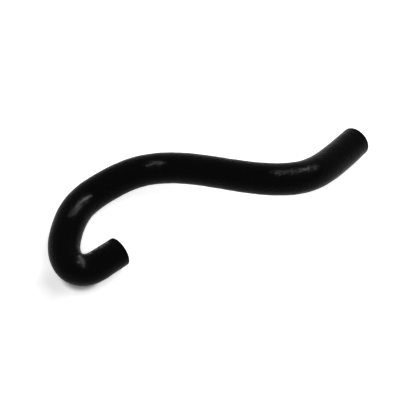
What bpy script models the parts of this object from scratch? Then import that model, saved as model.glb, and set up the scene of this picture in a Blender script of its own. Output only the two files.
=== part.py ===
"""Breather hose: one moulded rubber tube with a tight hook at one end, a long swept arm and square-cut ends.

The tube lies on its underside as it comes to rest: the hook and the bend beside it lie on the surface, the arm
arches clear of it and the far end touches down again. +X is the way the hook's short leg faces, +Z is up, and the
origin is the middle of the underside of the hose's box.
"""

import bmesh
import bpy
import numpy as np
from mathutils import Vector

MM = 0.001

# Driving sizes, in millimetres
BORE = 16.0            # the same all the way through, for a 16 mm (5/8 inch) spigot
WALL = 4.0             # rubber thickness of the straight tube
RIM_ROUND = 0.7        # rounding of the edges of both cut ends
RIM_STEPS = 2          # facets across that rounding

# Tessellation
SECTION_STEP = 7.0     # distance between two sections of a straight stretch
SECTION_TURN = 11.0    # turn between two sections of a tight bend, in degrees
SECTION_SIDES = 24     # sides of one section
READINGS = 2000        # fine readings of the route, from which the sections are spaced

# The moulded route, hook first. Each row gives a point's place along X and Y, how far the tube's middle is raised
# above where it would be if the tube lay on the surface there, and how full the outside is, as a share of the
# straight tube: a bend comes out of the mould a little fuller, the hook's end a little slimmer.
ROUTE = (
    (-79.0, -2.0, 1.0, 0.96),
    (-94.5, -2.0, 2.5, 0.97),
    (-107.5, 1.0, 1.5, 0.99),
    (-113.0, 8.0, 0.5, 1.01),
    (-111.5, 22.5, 0.0, 1.01),
    (-100.0, 36.0, 0.0, 1.02),
    (-79.0, 48.0, 0.0, 1.03),
    (-54.0, 49.0, 1.0, 1.02),
    (-28.5, 41.5, 5.5, 1.00),
    (-6.5, 24.0, 11.0, 0.99),
    (14.0, -2.5, 16.0, 0.99),
    (34.0, -29.0, 19.0, 1.01),
    (62.0, -48.0, 16.0, 1.03),
    (91.5, -48.0, 7.5, 1.02),
    (122.0, -42.5, -0.3, 1.00),
)

# Finish: plain black moulded rubber with a soft sheen
RUBBER_COLOUR = (0.012, 0.012, 0.013, 1.0)
RUBBER_ROUGHNESS = 0.45

OUTER_RADIUS = BORE / 2 + WALL


def clear_scene():
    for obj in list(bpy.data.objects):
        bpy.data.objects.remove(obj, do_unlink=True)


def named_collection(name):
    collection = bpy.data.collections.new(name)
    bpy.context.scene.collection.children.link(collection)
    return collection


def rubber_material():
    material = bpy.data.materials.new("black_rubber")
    material.use_nodes = True
    shader = material.node_tree.nodes["Principled BSDF"]
    shader.inputs["Base Color"].default_value = RUBBER_COLOUR
    shader.inputs["Roughness"].default_value = RUBBER_ROUGHNESS
    shader.inputs["Metallic"].default_value = 0.0
    return material


def natural_spline(stations, values, where):
    """The smooth curve of least bending through values at stations, read at the places in where."""
    gaps = np.diff(stations)
    slopes = np.diff(values, axis=0) / gaps[:, None]
    system = np.eye(len(stations))
    pull = np.zeros_like(values)
    for i in range(1, len(stations) - 1):
        system[i, i - 1:i + 2] = gaps[i - 1], 2 * (gaps[i - 1] + gaps[i]), gaps[i]
        pull[i] = 6 * (slopes[i] - slopes[i - 1])
    bending = np.linalg.solve(system, pull)
    span = np.clip(np.searchsorted(stations, where) - 1, 0, len(gaps) - 1)
    width = gaps[span][:, None]
    before = (stations[span + 1] - where)[:, None] / width
    after = 1 - before
    straight = before * values[span] + after * values[span + 1]
    bow = (before**3 - before) * bending[span] + (after**3 - after) * bending[span + 1]
    return straight + bow * width**2 / 6


def read_route():
    """Fine readings of the tube's middle line, in metres, and of its outer radius."""
    rows = np.array(ROUTE)
    stations = np.concatenate([[0.0], np.cumsum(np.linalg.norm(np.diff(rows[:, :3], axis=0), axis=1))])
    smooth = natural_spline(stations, rows, np.linspace(0.0, stations[-1], READINGS))
    radius = OUTER_RADIUS * smooth[:, 3]
    middle = smooth[:, :3].copy()
    middle[:, 2] += radius
    return middle * MM, radius * MM


def space_sections(middle):
    """Places of the sections: close together where the tube turns, further apart where it runs straight."""
    steps = np.diff(middle, axis=0)
    lengths = np.linalg.norm(steps, axis=1)
    ways = steps / lengths[:, None]
    turns = np.degrees(np.arccos(np.clip((ways[:-1] * ways[1:]).sum(axis=1), -1.0, 1.0)))
    share = lengths / (SECTION_STEP * MM)
    share[1:] += turns / SECTION_TURN
    travelled = np.concatenate([[0.0], np.cumsum(share)])
    count = int(np.ceil(travelled[-1])) + 1
    return np.interp(np.linspace(0.0, travelled[-1], count), travelled, np.arange(len(middle)))


def skin(points, radii):
    """An open skin swept along the points by a round-bevelled curve, as a mesh."""
    curve = bpy.data.curves.new("skin_route", "CURVE")
    curve.dimensions = "3D"
    curve.bevel_depth = radii.max()
    curve.bevel_resolution = SECTION_SIDES // 2 - 2
    curve.render_resolution_u = 0
    curve.use_fill_caps = False
    spline = curve.splines.new("POLY")
    spline.points.add(len(points) - 1)
    for point, place, radius in zip(spline.points, points, radii):
        point.co = (*place, 1.0)
        point.radius = radius / curve.bevel_depth

    guide = bpy.data.objects.new("skin_route", curve)
    bpy.context.scene.collection.objects.link(guide)
    depsgraph = bpy.context.evaluated_depsgraph_get()
    mesh = bpy.data.meshes.new_from_object(guide.evaluated_get(depsgraph))
    bpy.data.objects.remove(guide, do_unlink=True)
    return mesh


def tube_mesh(name):
    """The tube: an outer skin of the route's own fullness and an even bore, joined by the two cut faces."""
    middle, radius = read_route()
    places = space_sections(middle)
    readings = np.arange(len(middle))
    points = np.stack([np.interp(places, readings, middle[:, axis]) for axis in range(3)], axis=1)
    outside = skin(points, np.interp(places, readings, radius))
    inside = skin(points, np.full(len(points), BORE / 2 * MM))

    tube = bmesh.new()
    tube.from_mesh(inside)
    bmesh.ops.reverse_faces(tube, faces=tube.faces[:])
    tube.from_mesh(outside)
    open_edges = [edge for edge in tube.edges if edge.is_boundary]
    for end in (points[0], points[-1]):
        rims = [edge for edge in open_edges if (edge.verts[0].co - Vector(end)).length < 2 * OUTER_RADIUS * MM]
        bmesh.ops.bridge_loops(tube, edges=rims)
    mesh = bpy.data.meshes.new(name)
    tube.to_mesh(mesh)
    tube.free()
    return mesh


def box_of(obj):
    """Lowest and highest corner of the finished object, modifiers included."""
    evaluated = obj.evaluated_get(bpy.context.evaluated_depsgraph_get())
    mesh = evaluated.to_mesh()
    corners = np.empty(len(mesh.vertices) * 3)
    mesh.vertices.foreach_get("co", corners)
    evaluated.to_mesh_clear()
    corners = corners.reshape(-1, 3)
    return corners.min(axis=0), corners.max(axis=0)


def make_hose(collection, material):
    hose = bpy.data.objects.new("breather_hose", tube_mesh("breather_hose"))
    collection.objects.link(hose)
    hose.data.materials.append(material)

    rims = hose.modifiers.new("rims", "BEVEL")
    rims.width = RIM_ROUND * MM
    rims.segments = RIM_STEPS
    rims.limit_method = "ANGLE"
    rims.angle_limit = np.radians(60.0)
    hose.data.shade_smooth()
    hose.data.set_sharp_from_angle(angle=rims.angle_limit)

    low, high = box_of(hose)
    hose.location = (-(low[0] + high[0]) / 2, -(low[1] + high[1]) / 2, -low[2])
    return hose


clear_scene()
make_hose(named_collection("Breather hose"), rubber_material())
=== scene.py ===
"""Looks of the breather hose: one moulded black rubber tube on a white floor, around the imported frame.

The hose is one closed surface worked out with numpy. Its half-section (outer skin, rounded rims, two cut
faces and the bore) is carried round the tube's middle line, which is the smooth curve through the route's
points.
"""

import bpy
import numpy as np
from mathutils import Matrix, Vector


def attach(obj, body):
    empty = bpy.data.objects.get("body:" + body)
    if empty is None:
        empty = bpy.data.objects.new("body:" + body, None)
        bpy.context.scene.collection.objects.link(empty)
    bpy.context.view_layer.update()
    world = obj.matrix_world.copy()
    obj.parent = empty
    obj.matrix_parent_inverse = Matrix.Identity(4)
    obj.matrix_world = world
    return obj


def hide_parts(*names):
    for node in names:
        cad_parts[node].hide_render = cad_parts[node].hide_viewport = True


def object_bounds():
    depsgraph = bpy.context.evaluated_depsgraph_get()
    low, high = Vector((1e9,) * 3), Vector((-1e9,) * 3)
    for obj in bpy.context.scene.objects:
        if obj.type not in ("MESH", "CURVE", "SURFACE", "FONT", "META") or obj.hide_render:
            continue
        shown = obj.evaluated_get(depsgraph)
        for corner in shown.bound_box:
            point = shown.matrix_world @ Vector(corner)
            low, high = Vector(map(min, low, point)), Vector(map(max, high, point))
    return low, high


MM = 0.001               # in metres
MICROWATT = 1e-6         # in watts

# The tube, in millimetres
BORE = 16.0
WALL = 4.0
RIM_ROUND = 0.7          # rounding of the edges of both cut ends
OUTER_RADIUS = BORE / 2 + WALL

# The moulded route, hook first. A row is a place along X and Y and the rise above lying on the surface, in
# millimetres, and the fullness of the outside, as a share of the straight tube.
ROUTE = (
    (-79.0, -2.0, 1.0, 0.96),
    (-94.5, -2.0, 2.5, 0.97),
    (-107.5, 1.0, 1.5, 0.99),
    (-113.0, 8.0, 0.5, 1.01),
    (-111.5, 22.5, 0.0, 1.01),
    (-100.0, 36.0, 0.0, 1.02),
    (-79.0, 48.0, 0.0, 1.03),
    (-54.0, 49.0, 1.0, 1.02),
    (-28.5, 41.5, 5.5, 1.00),
    (-6.5, 24.0, 11.0, 0.99),
    (14.0, -2.5, 16.0, 0.99),
    (34.0, -29.0, 19.0, 1.01),
    (62.0, -48.0, 16.0, 1.03),
    (91.5, -48.0, 7.5, 1.02),
    (122.0, -42.5, -0.3, 1.00),
)

# Fineness of the surface
READINGS = 4000          # fine readings of the route
SKIN_STEP = 1.3          # distance between two rings of the outer skin, in millimetres
BORE_STEP = 3.0          # the same inside the bore
RIM_STEPS = 7            # rings across one rounded rim
CUT_STEPS = 8            # rings across one cut face
SIDES = 112              # points round one ring

# The hose's finishes, numbered in the order of its materials
ON_SKIN, ON_CUT, IN_BORE = range(3)

# Unevenness of the moulded skin: each row is turns along the hose, turns round it, height in millimetres,
# and phase in radians
SKIN_WAVES = (
    (17.0, 2, 0.030, 0.4),
    (29.0, -3, 0.022, 2.1),
    (43.0, 4, 0.016, 3.9),
    (61.0, -5, 0.010, 5.2),
)

# The moulded skin's look. A shade is a place on the noise, and the grey there.
SKIN_SHADES = ((0.3, 0.0003), (0.7, 0.0008))
SKIN_ROUGHNESS = 0.21    # of its smoothest spots
SKIN_MOTTLE = 0.10       # what each of two noises adds to that at the most
SKIN_PEBBLE = 0.1        # share of the mould's fine pebble in the relief
SKIN_RELIEF = 0.00036    # height of the relief, in metres
SKIN_IOR = 1.10          # low, for a black as deep as the photograph's

# The same of the knife-cut faces
CUT_SHADES = ((0.3, 0.0010), (0.7, 0.0110))
CUT_ROUGHNESS = 0.5
CUT_MOTTLE = 0.2         # from the crumbs
CUT_LINES = 0.2          # share of the knife's lines in the relief, beside the crumbs
CUT_RELIEF = 0.0005
CUT_IOR = 1.18

# The same of the bore, which has no relief. Its greys are lighter than the same rubber's on the skin:
# painted light, so that the bore reads.
BORE_SHADES_PAINTED_LIGHT = ((0.3, 0.0035), (0.7, 0.0065))
BORE_ROUGHNESS = 0.3
BORE_MOTTLE = 0.1
BORE_IOR = 1.30

# Camera: the photograph's viewing angle
CAMERA_AZIMUTH = -40.0   # degrees; 0 looks along +Y
CAMERA_ELEVATION = 59.3  # degrees above the floor
CAMERA_DISTANCE = 1.018  # metres from the point that it looks at
CAMERA_TARGET = Vector((-0.0179, -0.0312, 0.0470))
SENSOR = 36.0            # width, in millimetres
LENS = 121.45            # focal length, in millimetres

# Light: strengths at which a matt grey card on the floor shows about its own colour
AMBIENT = 0.65           # even light from all round
KEY_WAY = (0.50, -0.08, 0.86)         # from the hose to the big lamp
KEY_DISTANCE = 1.2       # metres
KEY_SIZE = 0.70          # metres
KEY_POWER = 5.0          # watts

# Small lamps that are seen only as gloss. Each is set where a place on the skin mirrors it to the camera. A
# row is how far that place is along the hose in millimetres, how far round it in degrees, how far round the
# place the lamp's light reaches in millimetres, and the lamp's power in microwatts.
GLINTS = (
    # the bend beside the hook
    (82.0, 83.0, 4.0, 60),
    (88.5, 75.0, 8.0, 420),
    (94.5, 68.0, 9.0, 540),
    (100.5, 65.0, 6.0, 180),
    # the rise of the arm
    (160.0, 76.0, 5.0, 120),
    (166.0, 78.0, 6.0, 155),
    (170.5, 77.0, 5.0, 100),
    # the arm's far bend
    (257.5, 82.0, 8.0, 300),
    (265.5, 83.5, 9.0, 350),
    (273.5, 85.5, 9.0, 390),
    (280.0, 80.5, 8.0, 290),
    # the inside of the hook
    (34.5, 62.0, 2.0, 7),
    (33.0, 72.0, 2.5, 12),
    (32.0, 80.5, 3.2, 44),
    (30.8, 88.5, 2.8, 52),
    (30.0, 96.0, 2.8, 40),
    (29.0, 103.0, 2.2, 16),
    (28.0, 110.0, 1.8, 5),
)
GLINT_DISTANCE = 120.0   # from the skin to these lamps, in millimetres

# The same for the upper edge of the hook's short leg, from within the hook's gap
LEG_GLINTS = (
    (21.5, 47.5, 5.0, 12),
    (16.0, 49.0, 5.0, 15),
    (11.5, 50.5, 5.0, 15),
    (7.0, 52.5, 5.0, 15),
)
LEG_GLINT_DISTANCE = 16.0

GLINT_WIDTH = 0.7        # width of a small lamp, as a share of its reach

# The floor
FLOOR_HALF = 6.0         # metres from its middle to an edge
FLOOR_PALE = 0.90        # its matt grey

# Painted shade on the floor: the glow that whitens it where it is seen is less beside the hook, where its
# shadow spreads, and none where the hook touches down. Places and reaches are in metres. A row of the glow's
# stops is a share of the painted shade's reach, and the whitening there.
PAINTED_SHADE_PLACE = (-0.144, 0.013, 0.0)
PAINTED_SHADE_REACH = 0.080
PAINTED_SHADE_GLOW_STOPS = ((0.14, 0.29), (0.31, 0.52), (0.62, 0.54), (1.0, 0.72))
PAINTED_CONTACT_SHADE_PLACE = (-0.1077, 0.0083, 0.0)
PAINTED_CONTACT_SHADE_REACH = (0.0130, 0.0180)      # no whitening nearer than the first, and all of it past the second


def natural_spline(stations, values, where):
    """The smooth curve of least bending through values at stations, read at the places in where."""
    gaps = np.diff(stations)
    slopes = np.diff(values, axis=0) / gaps[:, None]
    system = np.eye(len(stations))
    pull = np.zeros_like(values)
    for i in range(1, len(stations) - 1):
        system[i, i - 1:i + 2] = gaps[i - 1], 2 * (gaps[i - 1] + gaps[i]), gaps[i]
        pull[i] = 6 * (slopes[i] - slopes[i - 1])
    bending = np.linalg.solve(system, pull)
    span = np.clip(np.searchsorted(stations, where) - 1, 0, len(gaps) - 1)
    width = gaps[span][:, None]
    before = (stations[span + 1] - where)[:, None] / width
    after = 1 - before
    straight = before * values[span] + after * values[span + 1]
    bow = (before**3 - before) * bending[span] + (after**3 - after) * bending[span + 1]
    return straight + bow * width**2 / 6


class Route:
    """The tube's middle line, outer radius and two square directions, read by the distance along it."""

    def __init__(self):
        rows = np.array(ROUTE)
        chords = np.linalg.norm(np.diff(rows[:, :3], axis=0), axis=1)
        stations = np.concatenate([[0.0], np.cumsum(chords)])
        smooth = natural_spline(stations, rows, np.linspace(0.0, stations[-1], READINGS))
        self.radii = OUTER_RADIUS * smooth[:, 3]
        self.line = smooth[:, :3].copy()
        self.line[:, 2] += self.radii
        steps = np.linalg.norm(np.diff(self.line, axis=0), axis=1)
        self.travelled = np.concatenate([[0.0], np.cumsum(steps)])
        self.length = self.travelled[-1]

    def read(self, quantity, where):
        return np.stack([np.interp(where, self.travelled, column) for column in quantity.T], axis=-1)

    def middle(self, where):
        return self.read(self.line, where)

    def outer_radius(self, where):
        return np.interp(where, self.travelled, self.radii)

    def square_directions(self, where):
        """The level direction across the tube, and the one square to that and to the tube."""
        ways = np.gradient(self.line, self.travelled, axis=0)
        way = self.read(ways, where)
        across = np.cross(way, (0.0, 0.0, 1.0))
        across /= np.linalg.norm(across, axis=-1, keepdims=True)
        over = np.cross(across, way)
        over /= np.linalg.norm(over, axis=-1, keepdims=True)
        return across, over

    def skin(self, along, around):
        """The place on the skin at that distance and angle, and the way straight out of it there."""
        across, over = self.square_directions(along)
        out = np.cos(around) * across + np.sin(around) * over
        return self.middle(along) + self.outer_radius(along) * out, out


def half_section(route):
    """The closed half-section of the hose: distance along the route, radius and finish number of each ring.

    It runs out along the skin, over the arm's rim, in across its cut face, back through the bore and out
    again across the hook's cut face. A rim is a quarter circle: at turn t its ring lies round * (1 - sin t)
    from the cut face and round * (1 - cos t) from the wall.
    """
    turn = np.linspace(0.0, np.pi / 2, RIM_STEPS + 1)
    to_face = RIM_ROUND * (1 - np.sin(turn))
    to_wall = RIM_ROUND * (1 - np.cos(turn))
    inner = BORE / 2
    end = route.length
    last, first = route.outer_radius(end), route.outer_radius(0.0)

    skin = np.linspace(RIM_ROUND, end - RIM_ROUND, int(end / SKIN_STEP))
    bore = np.linspace(end - RIM_ROUND, RIM_ROUND, int(end / BORE_STEP))
    share = np.linspace(0.0, 1.0, CUT_STEPS + 1)[1:-1]

    def cut(outer, inner_side):
        high, low = outer - RIM_ROUND, inner_side + RIM_ROUND
        return high + (low - high) * share

    pieces = [
        (skin, route.outer_radius(skin), ON_SKIN),
        (end - to_face[1:], last - to_wall[1:], ON_SKIN),
        (np.full(len(share), end), cut(last, inner), ON_CUT),
        ((end - to_face)[::-1], (inner + to_wall)[::-1], IN_BORE),
        (bore[1:-1], np.full(len(bore) - 2, inner), IN_BORE),
        (to_face, inner + to_wall, IN_BORE),
        (np.zeros(len(share)), cut(first, inner)[::-1], ON_CUT),
        (to_face[::-1][:-1], (first - to_wall)[::-1][:-1], ON_SKIN),
    ]
    where = np.concatenate([piece[0] for piece in pieces])
    radius = np.concatenate([piece[1] for piece in pieces])
    finish = np.concatenate([np.full(len(piece[0]), piece[2]) for piece in pieces])
    return where, radius, finish


def skin_unevenness(share, angle):
    """Slow waves along and round the hose, in millimetres: the sum of height * sin(along + round + phase)."""
    height = np.zeros(np.broadcast(share, angle).shape)
    for along, around, size, phase in SKIN_WAVES:
        height = height + size * np.sin(2 * np.pi * along * share + around * angle + phase)
    return height


def hose_mesh(name, route, middle_of_box):
    """Each ring of the half-section, carried round: middle + radius * (cos a * across + sin a * over).

    The mesh is moved so that the middle of its box is the one given, and the route is moved with it.
    """
    where, radius, finish = half_section(route)
    angle = np.linspace(0.0, 2 * np.pi, SIDES, endpoint=False)
    across, over = route.square_directions(where)
    on_skin = (finish == ON_SKIN) & (where > RIM_ROUND) & (where < route.length - RIM_ROUND)
    uneven = skin_unevenness((where / route.length)[:, None], angle[None, :]) * on_skin[:, None]
    reach = (radius[:, None] + uneven)[..., None]
    spokes = np.cos(angle)[None, :, None] * across[:, None] + np.sin(angle)[None, :, None] * over[:, None]
    points = route.middle(where)[:, None] + reach * spokes
    centring = middle_of_box / MM - (points.reshape(-1, 3).min(0) + points.reshape(-1, 3).max(0)) / 2
    points += centring
    route.line += centring

    rings = len(where)
    ring, side = np.meshgrid(np.arange(rings), np.arange(SIDES), indexing="ij")
    next_ring, next_side = (ring + 1) % rings, (side + 1) % SIDES
    corners = np.stack([ring * SIDES + side, ring * SIDES + next_side,
                        next_ring * SIDES + next_side, next_ring * SIDES + side], axis=-1).reshape(-1, 4)
    mesh = bpy.data.meshes.new(name)
    mesh.from_pydata(points.reshape(-1, 3) * MM, [], corners)
    mesh.polygons.foreach_set("use_smooth", np.ones(len(corners), bool))
    # a face between two finishes takes the lower number
    seam = np.minimum(finish, finish[(np.arange(rings) + 1) % rings])
    mesh.polygons.foreach_set("material_index", np.repeat(seam, SIDES).astype(np.int32))

    # the surface unrolled: shares of a turn round the hose, and metres along the half-section
    travelled = np.concatenate([[0.0], np.cumsum(np.hypot(np.diff(where), np.diff(radius)))])
    after = np.append(travelled[1:], travelled[-1] + SKIN_STEP)
    low, high = travelled[ring] * MM, after[ring] * MM
    left, right = side / SIDES, (side + 1) / SIDES
    unwrapped = np.stack([left, low, right, low, right, high, left, high], axis=-1)
    mesh.uv_layers.new(name="wrap").data.foreach_set("uv", unwrapped.ravel())
    mesh.update()
    return mesh


class Field:
    """A value that varies over a surface: the output of a node, with Python's + and *."""

    def __init__(self, nodes, socket):
        self.nodes = nodes
        self.socket = socket

    def reckon(self, operation, first, second):
        return self.nodes.add("Math", {0: first, 1: second}, operation=operation)

    def __add__(self, other):
        return self.reckon("ADD", self, other)

    def __radd__(self, other):
        return self.reckon("ADD", other, self)

    def __mul__(self, other):
        return self.reckon("MULTIPLY", self, other)

    def __rmul__(self, other):
        return self.reckon("MULTIPLY", other, self)


class Nodes:
    """The nodes of one material or of the world, which start empty."""

    def __init__(self, owner):
        owner.use_nodes = True
        self.tree = owner.node_tree
        self.tree.nodes.clear()

    def add(self, kind, sockets=None, output=0, stops=(), **settings):
        """Adds one node: its settings, then the values or links of its sockets. Gives one of its outputs."""
        made = self.tree.nodes.new("ShaderNode" + kind)
        for name, value in settings.items():
            setattr(made, name, value)
        for count, (place, shade) in enumerate(stops):
            if count >= len(made.color_ramp.elements):
                made.color_ramp.elements.new(place)
            made.color_ramp.elements[count].position = place
            made.color_ramp.elements[count].color = (shade, shade, shade, 1.0)
        for name, value in (sockets or {}).items():
            if isinstance(value, Field):
                self.tree.links.new(value.socket, made.inputs[name])
            else:
                made.inputs[name].default_value = value
        return Field(self, made.outputs[output]) if made.outputs else None

    def speckle(self, scale, detail, fineness):
        """Even noise over the piece, about 0.5 on the whole."""
        place = self.add("TexCoord", output="Object")
        sockets = {"Vector": place, "Scale": scale, "Detail": detail, "Roughness": fineness}
        return self.add("TexNoise", sockets)

    def finish(self, sockets):
        """The shader of a solid surface, with these sockets, as the material's own."""
        self.add("OutputMaterial", {"Surface": self.add("BsdfPrincipled", sockets)})

    def shown(self):
        """1 for rays that see the background, straight, in a gloss or through glass, and 0 for other rays."""
        straight = self.add("LightPath", output="Is Camera Ray")
        in_gloss = self.add("LightPath", output="Is Glossy Ray")
        through = self.add("LightPath", output="Is Transmission Ray")
        either = self.add("Math", {0: straight, 1: in_gloss}, operation="MAXIMUM")
        return self.add("Math", {0: either, 1: through}, operation="MAXIMUM")


def moulded_rubber():
    """Satin black skin: a soft mottle in its sheen and the fine pebble of the mould."""
    material = bpy.data.materials.new("moulded_rubber")
    nodes = Nodes(material)
    patches = nodes.speckle(scale=130.0, detail=2.0, fineness=0.5)
    mottle = nodes.speckle(scale=540.0, detail=1.0, fineness=0.5)
    pebble = nodes.speckle(scale=1700.0, detail=2.0, fineness=0.6)
    height = mottle + pebble * SKIN_PEBBLE
    relief = nodes.add("Bump", {"Height": height, "Distance": SKIN_RELIEF, "Strength": 1.0})
    shade = nodes.add("ValToRGB", {"Fac": mottle}, stops=SKIN_SHADES)
    roughness = mottle * SKIN_MOTTLE + patches * SKIN_MOTTLE + SKIN_ROUGHNESS
    nodes.finish({"Base Color": shade, "Roughness": roughness, "Normal": relief, "IOR": SKIN_IOR})
    return material


def cut_rubber():
    """The knife-cut end: duller than the skin, with crumbs and the faint level lines of the knife."""
    material = bpy.data.materials.new("cut_rubber")
    nodes = Nodes(material)
    crumb = nodes.speckle(scale=450.0, detail=3.0, fineness=0.6)
    place = nodes.add("TexCoord", output="Object")
    sockets = {"Vector": place, "Scale": 200.0, "Distortion": 3.0, "Detail": 2.0}
    lines = nodes.add("TexWave", sockets, wave_type="BANDS", bands_direction="Z")
    grain = crumb * (1.0 - CUT_LINES) + lines * CUT_LINES
    relief = nodes.add("Bump", {"Height": grain, "Distance": CUT_RELIEF, "Strength": 1.0})
    shade = nodes.add("ValToRGB", {"Fac": grain}, stops=CUT_SHADES)
    roughness = CUT_ROUGHNESS + crumb * CUT_MOTTLE
    nodes.finish({"Base Color": shade, "Roughness": roughness, "Normal": relief, "IOR": CUT_IOR})
    return material


def bore_rubber():
    """The bore, as smooth as the mandrel that formed it."""
    material = bpy.data.materials.new("bore_rubber")
    nodes = Nodes(material)
    mottle = nodes.speckle(scale=300.0, detail=3.0, fineness=0.6)
    # painted light: greys lighter than the skin's, though it is the same rubber
    shade = nodes.add("ValToRGB", {"Fac": mottle}, stops=BORE_SHADES_PAINTED_LIGHT)
    nodes.finish({"Base Color": shade, "Roughness": BORE_ROUGHNESS + mottle * BORE_MOTTLE, "IOR": BORE_IOR})
    return material


def make_hose(route, middle_of_box):
    hose = bpy.data.objects.new("hose", hose_mesh("hose", route, middle_of_box))
    bpy.context.scene.collection.objects.link(hose)
    for material in (moulded_rubber(), cut_rubber(), bore_rubber()):
        hose.data.materials.append(material)
    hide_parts("breather_hose")
    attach(hose, "root")


def make_floor():
    """A white floor with a glow where it is seen, withheld round the hook: painted shade there, over its real
    shadow.
    """
    mesh = bpy.data.meshes.new("floor")
    corners = [(x * FLOOR_HALF, y * FLOOR_HALF, 0.0) for x, y in ((-1, -1), (1, -1), (1, 1), (-1, 1))]
    mesh.from_pydata(corners, [], [(0, 1, 2, 3)])
    floor = bpy.data.objects.new("floor", mesh)
    bpy.context.scene.collection.objects.link(floor)
    material = bpy.data.materials.new("floor")
    nodes = Nodes(material)
    place = nodes.add("TexCoord", output="Object")
    # painted shade: the glow is least beside the hook and grows with the distance from this place
    beside = nodes.add("VectorMath", {0: place, 1: PAINTED_SHADE_PLACE}, output="Value", operation="DISTANCE")
    glow_with_painted_shade = nodes.add("ValToRGB", {"Fac": beside * (1 / PAINTED_SHADE_REACH)}, stops=PAINTED_SHADE_GLOW_STOPS)
    # painted shade where the hook touches down: no glow near this place
    from_painted_contact_shade = nodes.add("VectorMath", {0: place, 1: PAINTED_CONTACT_SHADE_PLACE}, output="Value", operation="DISTANCE")
    sockets = {"Value": from_painted_contact_shade, "From Min": PAINTED_CONTACT_SHADE_REACH[0], "From Max": PAINTED_CONTACT_SHADE_REACH[1]}
    clear = nodes.add("MapRange", sockets, interpolation_type="SMOOTHSTEP")
    matt = nodes.add("BsdfDiffuse", {"Color": (FLOOR_PALE, FLOOR_PALE, FLOOR_PALE, 1.0)})
    # the glow, with the painted shade round the hook taken out of it
    glow = nodes.add("Emission", {"Color": nodes.shown() * glow_with_painted_shade * clear, "Strength": 1.0})
    both = nodes.add("AddShader", {0: matt, 1: glow})
    nodes.add("OutputMaterial", {"Surface": both})
    mesh.materials.append(material)


def make_world():
    world = bpy.data.worlds.new("studio")
    bpy.context.scene.world = world
    nodes = Nodes(world)
    strength = AMBIENT + nodes.shown() * (1.0 - AMBIENT)
    sky = nodes.add("Background", {"Color": (1.0, 1.0, 1.0, 1.0), "Strength": strength})
    nodes.add("OutputWorld", {"Surface": sky})


def make_lamp(name, aim, way, distance, size, power, spread=180.0, gloss=False):
    """A round lamp at aim + distance * way, looking back at aim: for gloss alone, or for all but gloss."""
    lamp = bpy.data.lights.new(name, "AREA")
    lamp.shape = "DISK"
    lamp.size = size
    lamp.energy = power
    lamp.spread = np.radians(spread)
    holder = bpy.data.objects.new(name, lamp)
    out = Vector(way).normalized()
    holder.location = Vector(aim) + out * distance
    holder.rotation_euler = out.to_track_quat("Z", "Y").to_euler()
    holder.visible_camera = False
    holder.visible_diffuse = not gloss
    holder.visible_glossy = gloss
    bpy.context.scene.collection.objects.link(holder)


def mirrored(place, out, eye):
    """The way from a place on the skin to what it mirrors to the eye: 2 * (out . view) * out - view."""
    view = (eye - place) / np.linalg.norm(eye - place)
    return 2 * (out @ view) * out - view


def make_glints(route, eye, rows, distance):
    """Small lamps for gloss. A beam is 2 * arctan(reach / distance) wide, so it reaches just that far."""
    for along, around, reach, power in rows:
        place, out = route.skin(along, np.radians(around))
        way = mirrored(place, out, eye)
        size = GLINT_WIDTH * reach * MM
        spread = 2 * np.degrees(np.arctan(reach / distance))
        aim, watts = Vector(place) * MM, power * MICROWATT
        make_lamp("glint", aim, way, distance * MM, size, watts, spread, gloss=True)


def make_lamps(route, camera):
    eye = np.array(camera.location) / MM
    make_lamp("key", (0.0, 0.0, 0.0), KEY_WAY, KEY_DISTANCE, KEY_SIZE, KEY_POWER)
    make_glints(route, eye, GLINTS, GLINT_DISTANCE)
    make_glints(route, eye, LEG_GLINTS, LEG_GLINT_DISTANCE)


def make_camera():
    azimuth, elevation = np.radians(CAMERA_AZIMUTH), np.radians(CAMERA_ELEVATION)
    level = np.cos(elevation)
    back = Vector((np.sin(azimuth) * level, -np.cos(azimuth) * level, np.sin(elevation)))
    camera = bpy.data.cameras.new("camera")
    camera.sensor_width = SENSOR
    camera.lens = LENS
    holder = bpy.data.objects.new("camera", camera)
    holder.location = CAMERA_TARGET + back * CAMERA_DISTANCE
    holder.rotation_euler = back.to_track_quat("Z", "Y").to_euler()
    bpy.context.scene.collection.objects.link(holder)
    bpy.context.scene.camera = holder
    return holder


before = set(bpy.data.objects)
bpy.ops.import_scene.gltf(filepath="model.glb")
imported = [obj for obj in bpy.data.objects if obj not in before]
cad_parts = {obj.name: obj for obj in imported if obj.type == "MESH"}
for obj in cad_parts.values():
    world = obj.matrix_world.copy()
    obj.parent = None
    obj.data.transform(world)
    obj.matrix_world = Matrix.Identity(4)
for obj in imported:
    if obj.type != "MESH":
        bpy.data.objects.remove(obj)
cad_low, cad_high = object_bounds()

route = Route()
make_hose(route, np.array((cad_low + cad_high) / 2))
make_floor()
make_world()
make_lamps(route, make_camera())
bpy.context.scene.view_settings.view_transform = "Standard"
